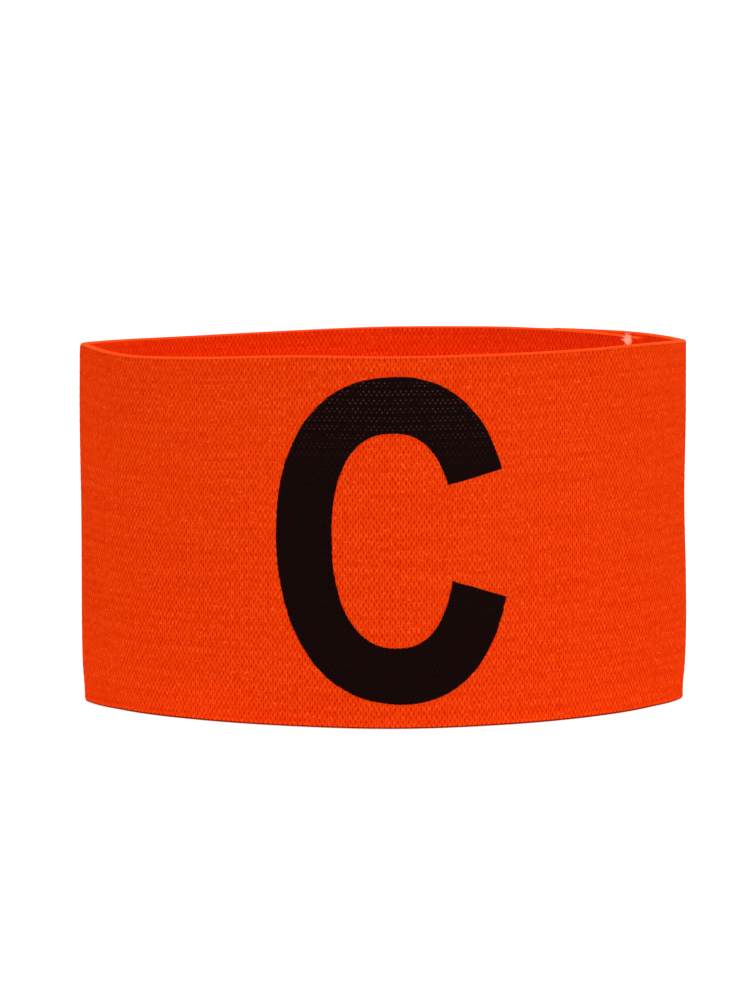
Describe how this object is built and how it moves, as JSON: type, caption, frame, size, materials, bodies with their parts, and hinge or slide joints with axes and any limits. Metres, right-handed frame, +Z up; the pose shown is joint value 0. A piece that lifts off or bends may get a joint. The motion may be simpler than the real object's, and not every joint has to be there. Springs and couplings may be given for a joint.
{
  "type": "captain armband",
  "caption": "Elastic captain's armband: a lapped loop of woven webbing that stands on its rim, with a plain letter C printed on its front.",
  "frame": {"origin": "under the middle of the bounding box, on the plane of the lower rim that the armband stands on", "axes": "+Z up, across the webbing; +X along the loop's width, from the left fold to the right one; -Y the way the printed letter faces"},
  "size_m": [0.119, 0.093, 0.071],
  "materials": {
    "webbing": "fluorescent orange woven elastic, matte, with vertical floats in staggered rows and scalloped selvedges",
    "letter_print": "near-black ink printed into the weave, whose raised threads show as faint dots"
  },
  "bodies": {
    "root": {"webbing_band": "webbing", "captain_letter": "letter_print"}
  },
  "joints": []
}
